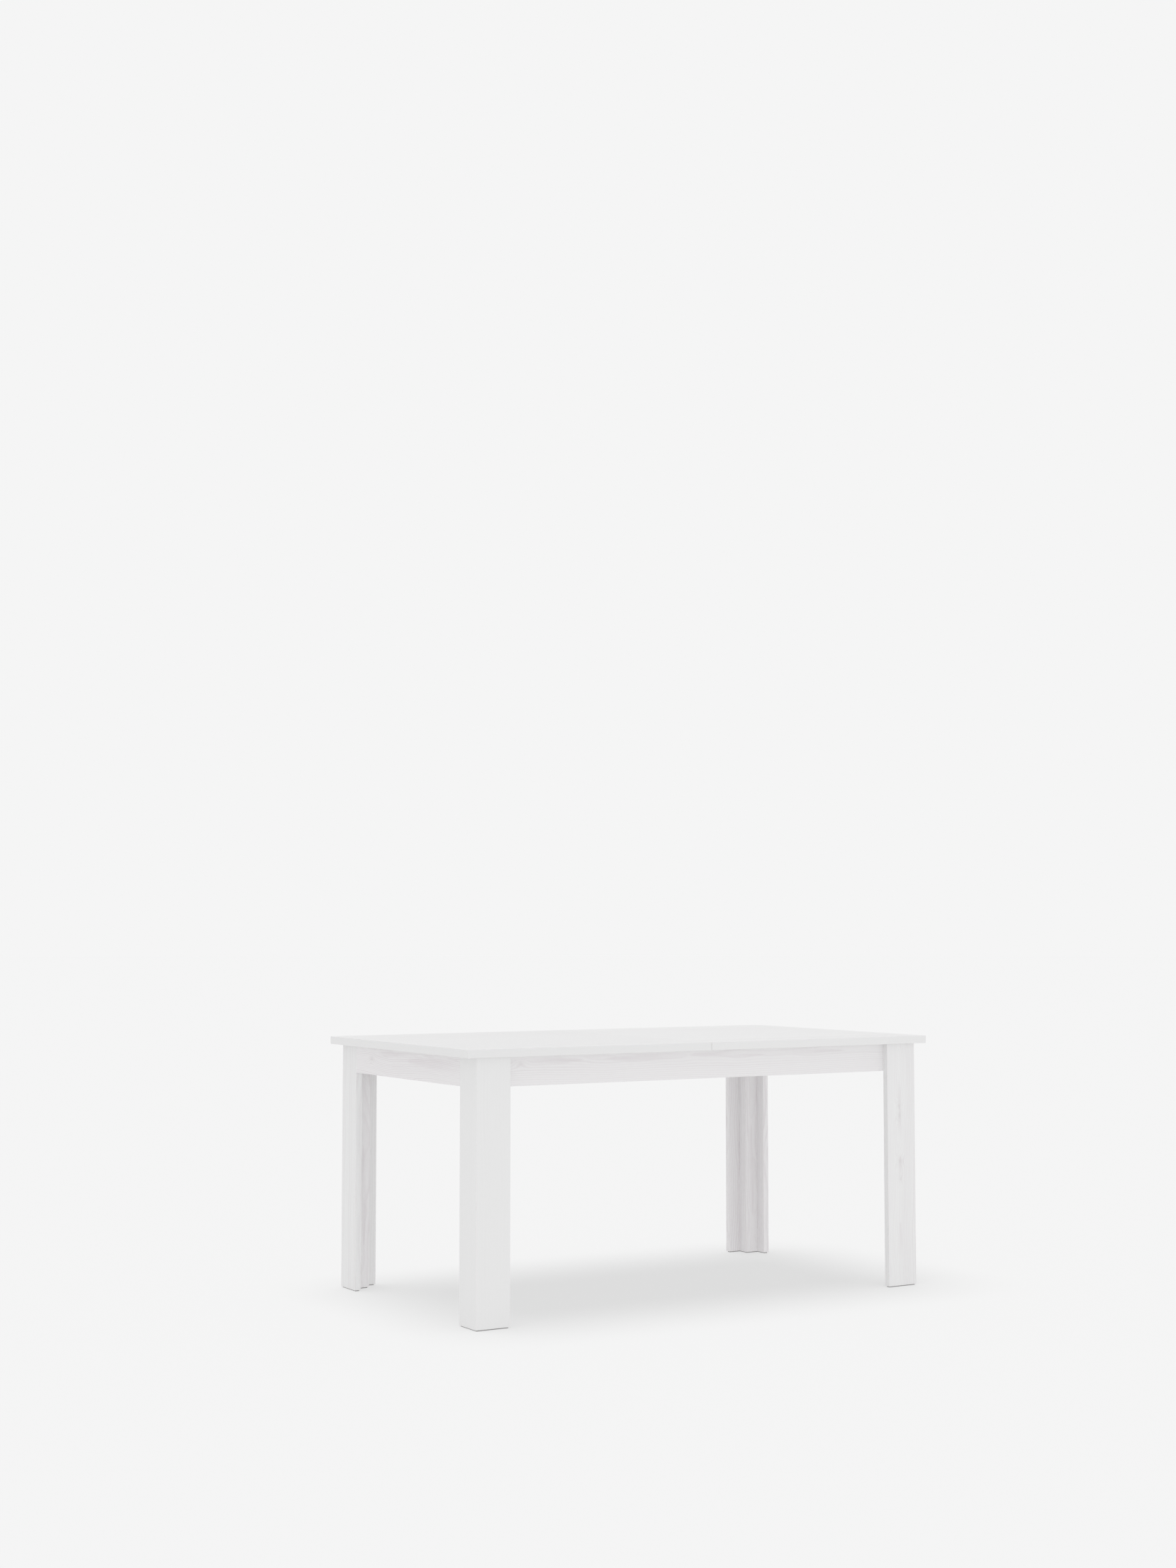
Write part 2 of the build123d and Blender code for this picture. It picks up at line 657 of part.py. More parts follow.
def write_rails():
    rail = cut(slide_rail(), rail_screws())
    write("back_slide_rail", rail)
    write("front_slide_rail", to_corner(rail, RIGHT, FRONT))
    sides = ((RIGHT, BACK), (RIGHT, FRONT))
    write("rail_screws", [to_corner(s, *side) for side in sides for s in rail_screws()])
    write("rail_stops", [to_corner(rail_stop(), *side) for side in CORNERS.values()])


def write_top(side):
    """One half of the top with all that moves with it."""
    name = "left" if side == LEFT else "right"
    back_runner = cut(runner(), runner_screws())
    runners = {row: to_corner(back_runner, side, row) for row in (BACK, FRONT)}
    screws = [to_corner(s, side, row) for row in (BACK, FRONT) for s in runner_screws()]
    batten_fixings = [to_corner(s, side, BACK) for x in BATTEN_X for s in batten_screws(x)]
    plate_x = LATCH_PIVOT_X if side == LEFT else LATCH_PIVOT_X + LATCH_REACH
    plate_fixings = latch_plate_screws(plate_x)
    panel = cut(top_blank(side), [*screws, *batten_fixings, *plate_fixings])
    if side == LEFT:
        panel = cut(panel, seam_dowels())
    else:
        holes = dowel_holes(SEAM_GAP / 2, 1, DOWEL_Y, HEIGHT - TOP_THICKNESS / 2)
        panel = cut(panel, holes)
    write(f"{name}_top_panel", panel)
    write(f"{name}_back_runner", runners[BACK])
    write(f"{name}_front_runner", runners[FRONT])
    write(f"{name}_sliders", [to_corner(s, side, row) for row in (BACK, FRONT) for s in sliders()])
    write(f"{name}_runner_screws", screws)
    for place, x in zip(("inner", "outer"), BATTEN_X):
        plank = cut(batten(x), batten_screws(x))
        write(f"{name}_{place}_batten", to_corner(plank, side, BACK))
    write(f"{name}_batten_screws", batten_fixings)
    write(f"{name}_latch_screws", plate_fixings)
    if side == LEFT:
        write("seam_dowels", seam_dowels())
        write("latch_plates", [cut(plate, plate_fixings) for plate in latch_plates()])
        write("latch_pivots", latch_pivots())
    else:
        write("latch_keepers", [cut(keeper, plate_fixings) for keeper in latch_keepers()])


def write_latches():
    lever = latch_lever()
    write("front_latch_lever", lever)
    write("back_latch_lever", to_corner(lever, RIGHT, FRONT))


def write_leaf():
    write("leaf_panel", leaf_panel())
    write("leaf_dowels", leaf_dowels())


os.makedirs("parts", exist_ok=True)
write_legs()
write_frame()
write_rails()
write_top(LEFT)
write_top(RIGHT)
write_latches()
write_leaf()
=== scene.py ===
"""Looks for the extending dining table: white-washed pine with grain and knots that follow each board,
zinc-plated slides and brackets, nylon sliders, felt feet, a pale floor and soft even light."""

import json
import math
import random

import bpy
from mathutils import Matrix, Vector


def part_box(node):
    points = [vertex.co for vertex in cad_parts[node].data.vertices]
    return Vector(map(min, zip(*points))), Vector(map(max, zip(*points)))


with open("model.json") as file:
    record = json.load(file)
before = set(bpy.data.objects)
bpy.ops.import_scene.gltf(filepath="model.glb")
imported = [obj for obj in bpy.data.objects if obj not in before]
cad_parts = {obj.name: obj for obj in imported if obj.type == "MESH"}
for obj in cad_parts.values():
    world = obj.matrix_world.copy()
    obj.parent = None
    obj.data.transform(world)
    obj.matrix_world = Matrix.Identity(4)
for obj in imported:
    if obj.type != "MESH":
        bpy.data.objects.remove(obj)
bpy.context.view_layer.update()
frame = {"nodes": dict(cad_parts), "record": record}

NODES = frame["nodes"]
SLOTS = {part["node"]: part["material_slot"] for part in frame["record"]["subparts"]}

# ---------------------------------------------------------------- camera, light and floor
CAMERA_PLACE = (-3.588, -5.714, 1.081)
CAMERA_YAW = 0.5418  # from +Y towards +X
CAMERA_PITCH = 0.0676  # upwards
CAMERA_LENS = 50.0
SENSOR = 36.0

SKY_LIGHT = 0.913  # also the tone of the floor and the backdrop
KEY_LIGHT = 0.135 * math.pi  # soft light from overhead
KEY_SPREAD = math.radians(44)
KEY_TOWARDS = Vector((0.06, -0.04, -1.0))
FILL_FRONT = 0.138 * math.pi  # flat light on the faces that look to the front and the back
FILL_SIDE = 0.085 * math.pi  # the same for the two ends
FLOOR_ALBEDO = 0.10
FLOOR_GLOW = 0.6455
FLOOR_KEY = 1.58 * math.pi  # overhead light that only the floor takes up, for the shadow's depth
FLOOR_KEY_SPREAD = math.radians(38)
FLOOR_RADIUS = 90.0

# ---------------------------------------------------------------- wood
RING_WIDTH = 0.0068  # between two dark growth lines
WASH = (0.750, 0.750, 0.750)  # white-wash over pale wood
LINE = (0.640, 0.612, 0.626)  # growth line showing through
KNOT = (0.46, 0.43, 0.43)
WORN = (0.62, 0.58, 0.54)
UNDERSIDE_PAINTED_LIGHT = (0.84, 0.84, 0.835)  # painted light: a paler white under the tabletop than its wash, so its bounce lightens the shade below the top

# tints that multiply the wash and the growth lines of one board
PLAIN = (1.0, 1.0, 1.0)
PINK = (1.005, 0.995, 1.0)  # the slight rose cast of the aprons
WARM_PINK = (1.013, 1.003, 1.009)  # the same on the long front apron
LIT_PINK = (1.027, 1.016, 1.022)  # the same on the left end, whose lines are darker
ROSE = (0.997, 0.983, 0.990)  # the stronger cast inside the legs
SHADED = (0.984, 0.985, 0.985)  # one leg board a little darker than the others

# how strongly the marks show, from 0 to 1
LINE_SHOWS = 0.50
STREAK_SHOWS = 0.18
STAVE_SHOWS = 0.22
FLAME_SHOWS = (0.34, 0.52)
KNOT_SHOWS = 0.15
KNOT_RIM_SHOWS = 0.04
WEAR_SHOWS = 0.07
FAINT_LINES = 0.42  # where a board's lines_from holds them back

# where a tabletop's wash gives way to the painted shade on its edges and the painted light on its
# underside, in metres from the face
EDGE_SHADE_FROM, EDGE_SHADE_FULL = 0.0008, 0.0016
UNDERSIDE_LIGHT_FROM, UNDERSIDE_LIGHT_FULL = 0.0003, 0.0008


# ================================================================ node helpers
class Graph:
    """A material's node tree with short calls for the nodes used here."""

    def __init__(self, tree):
        self.tree = tree
        self.nodes = tree.nodes
        self.links = tree.links

    def put(self, socket, value):
        if isinstance(value, bpy.types.NodeSocket):
            self.links.new(value, socket)
        elif value is not None:
            socket.default_value = value

    def math(self, operation, a, b=None, c=None, clamp=False):
        node = self.nodes.new("ShaderNodeMath")
        node.operation = operation
        node.use_clamp = clamp
        for socket, value in zip(node.inputs, (a, b, c)):
            self.put(socket, value)
        return node.outputs[0]

    def vector(self, x, y, z):
        node = self.nodes.new("ShaderNodeCombineXYZ")
        for socket, value in zip(node.inputs, (x, y, z)):
            self.put(socket, value)
        return node.outputs[0]

    def coordinates(self):
        """The point on the piece, in metres, in the table's own frame at rest."""
        node = self.nodes.new("ShaderNodeTexCoord")
        split = self.nodes.new("ShaderNodeSeparateXYZ")
        self.links.new(node.outputs["Object"], split.inputs[0])
        return list(split.outputs)

    def scaled(self, point, scales, offset=0.0):
        """The point with each coordinate scaled, and the first one shifted."""
        parts = [self.math("MULTIPLY_ADD", point[0], scales[0], offset)]
        parts += [self.math("MULTIPLY", value, scale) for value, scale in zip(point[1:], scales[1:])]
        return self.vector(*parts)

    def noise(self, vector, scale=1.0, detail=2.0, roughness=0.5):
        """Noise from 0 to 1."""
        node = self.nodes.new("ShaderNodeTexNoise")
        self.put(node.inputs["Vector"], vector)
        node.inputs["Scale"].default_value = scale
        node.inputs["Detail"].default_value = detail
        node.inputs["Roughness"].default_value = roughness
        return node.outputs["Fac"]

    def random(self, value):
        """A random number from 0 to 1 for each whole value."""
        node = self.nodes.new("ShaderNodeTexWhiteNoise")
        node.noise_dimensions = "1D"
        self.put(node.inputs["W"], value)
        return node.outputs["Value"]

    def smooth(self, value, low, high, out_low=0.0, out_high=1.0):
        """A smooth step from out_low to out_high as the value goes from low to high."""
        node = self.nodes.new("ShaderNodeMapRange")
        node.interpolation_type = "SMOOTHSTEP"
        for socket, given in zip(node.inputs, (value, low, high, out_low, out_high)):
            self.put(socket, given)
        return node.outputs[0]

    def mix(self, factor, a, b):
        """Colour a where the factor is 0, colour b where it is 1."""
        node = self.nodes.new("ShaderNodeMix")
        node.data_type = "RGBA"
        colours = [s for s in node.inputs if s.type == "RGBA"]
        self.put(node.inputs[0], factor)
        self.put(colours[0], colour(a))
        self.put(colours[1], colour(b))
        return next(s for s in node.outputs if s.type == "RGBA")

    def bump(self, height, strength, distance, normal=None):
        node = self.nodes.new("ShaderNodeBump")
        node.inputs["Strength"].default_value = strength
        node.inputs["Distance"].default_value = distance
        self.put(node.inputs["Height"], height)
        self.put(node.inputs["Normal"], normal)
        return node.outputs[0]


def colour(value):
    """RGBA from RGB; sockets pass through."""
    return (*value, 1.0) if isinstance(value, tuple) and len(value) == 3 else value


def new_material(name):
    """A material with one Principled shader; returns it, its graph and the shader."""
    material = bpy.data.materials.new(name)
    material.use_nodes = True
    graph = Graph(material.node_tree)
    shader = graph.nodes["Principled BSDF"]
    return material, graph, shader


# ================================================================ pine
class Board:
    """How one board was cut: its grain direction and where its pith lies.

    along, across and deep are axis numbers; pith is the place of the tree's centre in the
    board's section (across, deep), from the middle of the board, in metres; knots are
    (along, across, radius) and flames (along, across, length, height), also from the middle.
    A flame is a dark pointed patch of late wood; its length is negative if it points forward.
    contrast is how strongly the grain shows, wave how far it wanders, ring the distance between
    growth lines and staves the width of the glued strips of a panel."""

    def __init__(self, node, along=None, pith=None, knots=(), flames=(), contrast=1.0, wave=1.0,
                 staves=0.0, tint=PLAIN, ring=RING_WIDTH, lines_from=None, edges=1.0):
        low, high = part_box(node)
        size = high - low
        order = sorted(range(3), key=lambda axis: -size[axis])
        if along is not None:
            order = [along] + [axis for axis in order if axis != along]
        dice = random.Random(node)
        self.node = node
        self.middle = (low + high) / 2
        self.half = size / 2
        self.along, self.across, self.deep = order
        width = size[self.across]
        default = (dice.uniform(-0.35, 0.35) * width, dice.choice((-1, 1)) * dice.uniform(0.018, 0.05))
        self.pith = pith or default
        self.knots = knots
        self.flames = flames
        self.contrast = contrast
        self.wave = wave
        self.staves = staves
        self.tint = tint
        self.ring = ring
        self.lines_from = lines_from  # growth lines only show beyond this place across
        self.edges = edges  # how pale the narrow edges are beside the faces; below 1 it is a painted shade that darkens them
        self.seed = dice.uniform(0, 50)
        self.shade = dice.uniform(-0.012, 0.012)


def board_section(graph, board, point):
    """Distances along, across and deep from the board's middle, and the stave's number if any."""
    local = [graph.math("SUBTRACT", point[axis], board.middle[axis]) for axis in range(3)]
    along, across, deep = (local[axis] for axis in (board.along, board.across, board.deep))
    stave = None
    if board.staves:
        stave = graph.math("FLOOR", graph.math("DIVIDE", across, board.staves))
        centre = graph.math("MULTIPLY", graph.math("ADD", stave, 0.5), board.staves)
        across = graph.math("SUBTRACT", across, centre)
    return along, across, deep, stave


def knot_field(graph, board, along, across):
    """How far the knots push the growth rings, the knot's own core mask and its dark rim mask."""
    push, core, rim = 0.0, 0.0, 0.0
    if board.knots:
        rough = graph.noise(graph.scaled((along, across, 0.0), (170.0, 210.0, 0.0), board.seed))
        rough = graph.math("MULTIPLY_ADD", rough, 0.9, 0.55)
    for knot_along, knot_across, radius in board.knots:
        du = graph.math("SUBTRACT", along, knot_along)
        dv = graph.math("SUBTRACT", across, knot_across)
        stretched = graph.math("DIVIDE", du, 3.2 * radius)
        flat = graph.math("DIVIDE", dv, 1.7 * radius)
        reach = graph.math("ADD", graph.math("POWER", stretched, 2.0), graph.math("POWER", flat, 2.0))
        bell = graph.math("EXPONENT", graph.math("MULTIPLY", reach, -1.0))
        push = graph.math("MULTIPLY_ADD", bell, 1.5 * radius, push)
        oval = graph.math("MULTIPLY", du, 0.72)
        reach = graph.math(
            "SQRT", graph.math("ADD", graph.math("POWER", oval, 2.0), graph.math("POWER", dv, 2.0))
        )
        reach = graph.math("MULTIPLY", reach, rough)
        core = graph.math("MAXIMUM", graph.smooth(reach, 1.3 * radius, 0.1 * radius), core)
        ring_band = graph.math("ABSOLUTE", graph.math("SUBTRACT", reach, 1.4 * radius))
        rim = graph.math("MAXIMUM", graph.smooth(ring_band, 0.6 * radius, 0.0), rim)
    return push, core, rim


def flame_field(graph, board, along, across):
    """The mask of the dark pointed patches, with streaky borders."""
    mask = 0.0
    wobble = graph.noise(graph.scaled((along, across, 0.0), (16.0, 150.0, 0.0), board.seed), detail=3.0)
    wobble = graph.math("MULTIPLY", graph.math("SUBTRACT", wobble, 0.5), 0.9)
    for tip, middle, length, height in board.flames:
        way = graph.math("DIVIDE", graph.math("SUBTRACT", along, tip), length)
        open_height = graph.math("MULTIPLY", graph.math("SQRT", graph.math("MAXIMUM", way, 0.0001)), height)
        off = graph.math("ABSOLUTE", graph.math("SUBTRACT", across, middle))
        off = graph.math("ADD", graph.math("DIVIDE", off, open_height), wobble)
        body = graph.smooth(off, 1.05, 0.25)
        body = graph.math("MULTIPLY", body, graph.smooth(way, 0.0, 0.10))
        body = graph.math("MULTIPLY", body, graph.smooth(way, 1.0, 0.25))
        mask = graph.math("MAXIMUM", body, mask)
    return mask


def growth_lines(graph, board, along, across, deep, stave, push):
    """The growth rings' dark lines, 0 to 1."""
    spread = board.seed
    if stave is not None:
        spread = graph.math("MULTIPLY_ADD", stave, 7.31, board.seed)
    place = (along, across, deep)
    slow = graph.noise(graph.scaled(place, (1.7, 5.0, 5.0), spread), detail=1.0)
    quick = graph.noise(graph.scaled(place, (11.0, 45.0, 45.0), spread), detail=2.0)
    middling = graph.noise(graph.scaled((along, across, 4.0), (5.0, 9.0, 1.0), spread), detail=1.0)
    sway = graph.math("MULTIPLY", graph.math("SUBTRACT", slow, 0.5), 0.05 * board.wave)
    ripple = graph.math("MULTIPLY", graph.math("SUBTRACT", quick, 0.5), 0.0045 * board.wave)
    sink = graph.math("MULTIPLY", graph.math("SUBTRACT", middling, 0.5), 0.030 * board.wave)
    pith_across = board.pith[0]
    if stave is not None:
        draw = graph.math("SUBTRACT", graph.random(graph.math("ADD", stave, 3.7)), 0.5)
        pith_across = graph.math("MULTIPLY", draw, 0.9 * board.staves)
    from_pith = graph.math("ADD", graph.math("SUBTRACT", across, pith_across), sway)
    depth = graph.math("ADD", graph.math("SUBTRACT", deep, board.pith[1]), sink)
    radius = graph.math(
        "SQRT", graph.math("ADD", graph.math("POWER", from_pith, 2.0), graph.math("POWER", depth, 2.0))
    )
    flatness = graph.math("ABSOLUTE", graph.math("DIVIDE", from_pith, radius))
    radius = graph.math("ADD", graph.math("ADD", radius, ripple), push)
    count = graph.math("DIVIDE", radius, board.ring)
    part = graph.math("FRACT", count)
    rise = graph.smooth(part, 0.30, 0.86)
    fall = graph.smooth(part, 0.90, 1.0, 1.0, 0.0)
    line = graph.math("MULTIPLY", rise, fall)
    ring_strength = graph.smooth(graph.random(graph.math("FLOOR", count)), 0.0, 1.0, 0.45, 1.0)
    line = graph.math("MULTIPLY", line, ring_strength)
    line = graph.math("MULTIPLY", line, graph.smooth(flatness, 0.1, 0.75, 0.30, 1.0))
    if board.lines_from is not None:
        blend = 0.012
        edge = graph.math("ADD", across, sway)
        shown = graph.smooth(edge, board.lines_from - blend, board.lines_from + blend, FAINT_LINES, 1.0)
        line = graph.math("MULTIPLY", line, shown)
    return line


def fibres(graph, board, along, across, deep):
    """Fine streaks along the grain, 0 to 1."""
    place = graph.scaled((along, across, deep), (14.0, 900.0, 900.0), board.seed)
    return graph.noise(place, detail=3.0, roughness=0.6)


def edge_wear(graph, board, point):
    """1 right on the board's long edges, falling to 0 within about 2 mm, broken up by noise."""
    gaps = []
    for axis in range(3):
        off = graph.math("ABSOLUTE", graph.math("SUBTRACT", point[axis], board.middle[axis]))
        gaps.append(graph.math("SUBTRACT", board.half[axis], off))
    a, b, c = gaps
    second = graph.math(
        "MAXIMUM",
        graph.math("MINIMUM", a, b),
        graph.math("MINIMUM", graph.math("MAXIMUM", a, b), c),
    )
    near = graph.smooth(second, 0.0022, 0.0004)
    patches = graph.noise(graph.vector(*point), scale=38.0, detail=3.0)
    return graph.math("MULTIPLY", near, graph.smooth(patches, 0.42, 0.62))


def tinted(base, tint, shade):
    return tuple(c * t * (1 + shade) for c, t in zip(base, tint))


def pine(board):
    """White-washed pine for one board."""
    material, graph, shader = new_material(f"pine_{board.node}")
    point = graph.coordinates()
    along, across, deep, stave = board_section(graph, board, point)
    push, core, rim = knot_field(graph, board, along, across)
    line = growth_lines(graph, board, along, across, deep, stave, push)
    streak = fibres(graph, board, along, across, deep)
    wear = edge_wear(graph, board, point)

    cloud = graph.noise(graph.scaled((along, across, deep), (3.0, 16.0, 16.0), board.seed), detail=3.0)
    shows = graph.math("MULTIPLY", graph.smooth(cloud, 0.25, 0.75, 0.55, 1.15), board.contrast)
    wash = tinted(WASH, board.tint, board.shade)
    dark = tinted(LINE, board.tint, board.shade)
    amount = graph.math("MULTIPLY", line, graph.math("MULTIPLY", shows, LINE_SHOWS))
    surface = graph.mix(amount, wash, dark)
    streaked = graph.smooth(streak, 0.45, 0.75, 0.0, STREAK_SHOWS * board.contrast + 0.008)
    surface = graph.mix(streaked, surface, dark)
    if stave is not None:
        draw = graph.random(graph.math("ADD", stave, board.seed))
        stave_shade = graph.math("MULTIPLY", draw, STAVE_SHOWS * board.contrast)
        surface = graph.mix(stave_shade, surface, dark)
    if board.flames:
        flame = flame_field(graph, board, along, across)
        depth_of_tone = graph.smooth(streak, 0.3, 0.7, *FLAME_SHOWS)
        surface = graph.mix(graph.math("MULTIPLY", flame, depth_of_tone), surface, dark)
    if board.knots:
        surface = graph.mix(graph.math("MULTIPLY", core, KNOT_SHOWS * board.contrast), surface, KNOT)
        surface = graph.mix(graph.math("MULTIPLY", rim, KNOT_RIM_SHOWS * board.contrast), surface, KNOT)
    if board.edges != 1.0:
        half = board.half[board.deep]
        # painted light: the tabletop's underside is mixed towards a paler white, so the shade under the top
        # comes out lighter
        underside_light_mask = graph.smooth(deep, UNDERSIDE_LIGHT_FULL - half, UNDERSIDE_LIGHT_FROM - half)
        surface = graph.mix(graph.math("MULTIPLY", underside_light_mask, 0.8), surface, UNDERSIDE_PAINTED_LIGHT)
        # painted shade: the narrow edges of a tabletop are darkened beside its faces, standing in for how
        # light falls on them
        off = graph.math("ABSOLUTE", deep)
        edge_shade_mask = graph.smooth(off, half - EDGE_SHADE_FROM, half - EDGE_SHADE_FULL)
        edge_shade_colour = tuple(c * board.edges for c in wash)
        surface = graph.mix(graph.math("MULTIPLY", edge_shade_mask, 0.85), surface, edge_shade_colour)
    surface = graph.mix(graph.math("MULTIPLY", wear, WEAR_SHOWS), surface, WORN)
    graph.put(shader.inputs["Base Color"], surface)

    rough = graph.math("MULTIPLY_ADD", line, -0.07 * board.contrast, 0.56)
    rough = graph.math("MULTIPLY_ADD", streak, 0.10, rough)
    graph.put(shader.inputs["Roughness"], rough)
    shader.inputs["Specular IOR Level"].default_value = 0.32

    relief = graph.math("MULTIPLY_ADD", line, 0.7, graph.math("MULTIPLY", streak, 0.5))
    if board.knots:
        relief = graph.math("MULTIPLY_ADD", core, -0.6, relief)
    graph.put(shader.inputs["Normal"], graph.bump(relief, 0.35, 0.00025))
    return material


# ================================================================ other materials
def zinc(name, base, rough, scale):
    """Zinc-plated steel: cloudy plating, drawing marks and dull specks."""
    material, graph, shader = new_material(name)
    point = graph.coordinates()
    cloud = graph.noise(graph.vector(*point), scale=scale, detail=4.0)
    drawn = graph.noise(graph.scaled(point, (6.0, 700.0, 700.0)), detail=2.0)
    dull = tuple(c * 0.72 for c in base)
    surface = graph.mix(graph.smooth(cloud, 0.35, 0.7), base, dull)
    surface = graph.mix(graph.smooth(drawn, 0.55, 0.8, 0.0, 0.35), surface, dull)
    graph.put(shader.inputs["Base Color"], surface)
    graph.put(shader.inputs["Roughness"], graph.math("MULTIPLY_ADD", cloud, 0.22, rough))
    graph.put(shader.inputs["Normal"], graph.bump(drawn, 0.25, 0.0001))
    shader.inputs["Metallic"].default_value = 1.0
    return material


def nylon():
    """Natural nylon: off-white, slightly waxy, with faint mould texture."""
    material, graph, shader = new_material("nylon")
    point = graph.vector(*graph.coordinates())
    grain = graph.noise(point, scale=1800.0, detail=2.0)
    cloud = graph.noise(point, scale=60.0, detail=3.0)
    graph.put(shader.inputs["Base Color"], graph.mix(cloud, (0.82, 0.80, 0.75), (0.76, 0.73, 0.67)))
    graph.put(shader.inputs["Roughness"], graph.math("MULTIPLY_ADD", cloud, 0.15, 0.35))
    graph.put(shader.inputs["Normal"], graph.bump(grain, 0.2, 0.0001))
    shader.inputs["Subsurface Weight"].default_value = 0.1
    shader.inputs["Subsurface Scale"].default_value = 0.002
    return material


def felt():
    """Dark pressed felt with short tangled fibres."""
    material, graph, shader = new_material("felt")
    point = graph.vector(*graph.coordinates())
    hair = graph.noise(point, scale=1400.0, detail=4.0, roughness=0.7)
    graph.put(shader.inputs["Base Color"], graph.mix(hair, (0.17, 0.165, 0.165), (0.36, 0.35, 0.345)))
    graph.put(shader.inputs["Normal"], graph.bump(hair, 0.8, 0.0006))
    shader.inputs["Roughness"].default_value = 0.95
    shader.inputs["Sheen Weight"].default_value = 0.3
    return material


def beech():
    """Raw beech dowel: pink-brown with short flecks along its length."""
    material, graph, shader = new_material("beech")
    point = graph.coordinates()
    fleck = graph.noise(graph.scaled(point, (120.0, 600.0, 600.0)), detail=3.0)
    surface = graph.mix(graph.smooth(fleck, 0.4, 0.7), (0.62, 0.42, 0.26), (0.42, 0.25, 0.14))
    graph.put(shader.inputs["Base Color"], surface)
    graph.put(shader.inputs["Normal"], graph.bump(fleck, 0.3, 0.0002))
    shader.inputs["Roughness"].default_value = 0.6
    return material


# ================================================================ which board is which
FEATURED = {
    "front_apron": dict(
        pith=(0.030, -0.030), wave=0.7, contrast=1.0, tint=WARM_PINK, ring=0.0060,
        knots=((-0.617, 0.0215, 0.0075),),
        flames=(
            (-0.405, 0.025, -0.24, 0.018),
            (-0.352, 0.025, 0.30, 0.019),
            (-0.062, 0.028, 0.20, 0.016),
            (0.22, 0.022, -0.18, 0.008),
            (0.52, 0.026, -0.26, 0.011),
        ),
    ),
    "left_end_apron": dict(
        pith=(0.034, -0.016), wave=1.35, contrast=1.6, tint=LIT_PINK, ring=0.0050,
        knots=((0.229, 0.0055, 0.0085),),
        flames=(
            (0.008, 0.013, -0.46, 0.032),
            (0.030, 0.026, 0.20, 0.020),
            (0.19, 0.028, -0.30, 0.011),
        ),
    ),
    "front_right_leg_face": dict(
        pith=(-0.016, -0.020), wave=1.1, contrast=1.3, ring=0.0047, lines_from=0.004,
        knots=(
            (0.176, -0.008, 0.0075),
            (0.148, -0.007, 0.0085),
            (0.010, -0.006, 0.0090),
            (-0.045, -0.004, 0.0055),
        ),
        flames=(
            (0.140, -0.007, 0.14, 0.012),
            (0.185, -0.006, -0.12, 0.012),
            (0.030, -0.005, -0.10, 0.016),
            (-0.17, -0.006, -0.13, 0.012),
        ),
    ),
    "front_left_leg_face": dict(pith=(0.0, -0.02), wave=0.6, contrast=0.08, ring=0.009),
    "front_left_leg_side": dict(pith=(0.0, -0.02), wave=0.6, contrast=0.10, ring=0.009),
    "back_left_leg_side": dict(pith=(0.012, -0.028), wave=0.9, contrast=0.8, ring=0.0085, tint=SHADED),
    "back_right_leg_side": dict(
        pith=(0.01, -0.02), wave=1.3, contrast=1.3, tint=ROSE,
        flames=((0.15, 0.01, -0.20, 0.012), (-0.30, -0.01, 0.16, 0.014), (-0.05, 0.0, -0.15, 0.010)),
    ),
    "back_right_leg_face": dict(pith=(0.02, 0.03), wave=1.3, contrast=1.2, tint=ROSE),
    # edges gives the top panels' narrow edges a painted shade, and also turns on their painted light
    # underneath
    "left_top_panel": dict(along=0, staves=0.1125, contrast=0.30, wave=0.7, edges=0.962),
    "right_top_panel": dict(along=0, staves=0.1125, contrast=0.30, wave=0.7, edges=0.962),
    "leaf_panel": dict(along=1, staves=0.1125, contrast=0.30, wave=0.7, edges=0.962),
}


def random_knots(node, dice):
    """One or two knots at random places on a plain board."""
    low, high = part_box(node)
    size = sorted(high - low, reverse=True)
    places = []
    for _ in range(dice.choice((1, 1, 2))):
        along = dice.uniform(-0.42, 0.42) * size[0]
        across = dice.uniform(-0.35, 0.35) * size[1]
        places.append((along, across, dice.uniform(0.003, 0.007)))
    return tuple(places)


def wood_board(node):
    """The board for a node: the featured ones as listed, the others from their own name's dice."""
    if node in FEATURED:
        return Board(node, **FEATURED[node])
    dice = random.Random(node + "_knots")
    if "block" in node:
        flames = ((dice.uniform(0.0, 0.1), 0.0, -0.24, 0.014), (-0.25, 0.004, 0.22, 0.012))
        return Board(node, flames=flames, contrast=1.4, wave=1.4, tint=ROSE)
    tint = PINK if "apron" in node else PLAIN
    contrast = dice.uniform(0.6, 0.9)
    return Board(node, knots=random_knots(node, dice), contrast=contrast, wave=0.8, tint=tint)


def dress_nodes():
    """Gives every CAD node its material."""
    shared = {
        "slide_steel": zinc("slide_steel", (0.60, 0.61, 0.62), 0.28, 30.0),
        "bracket_steel": zinc("bracket_steel", (0.66, 0.64, 0.58), 0.34, 70.0),
        "zinc_fasteners": zinc("zinc_fasteners", (0.70, 0.69, 0.66), 0.22, 200.0),
        "slider_nylon": nylon(),
        "foot_felt": felt(),
        "dowel_beech": beech(),
    }
    for name, node in NODES.items():
        slot = SLOTS[name]
        material = shared[slot] if slot in shared else pine(wood_board(name))
        node.data.materials.clear()
        node.data.materials.append(material)


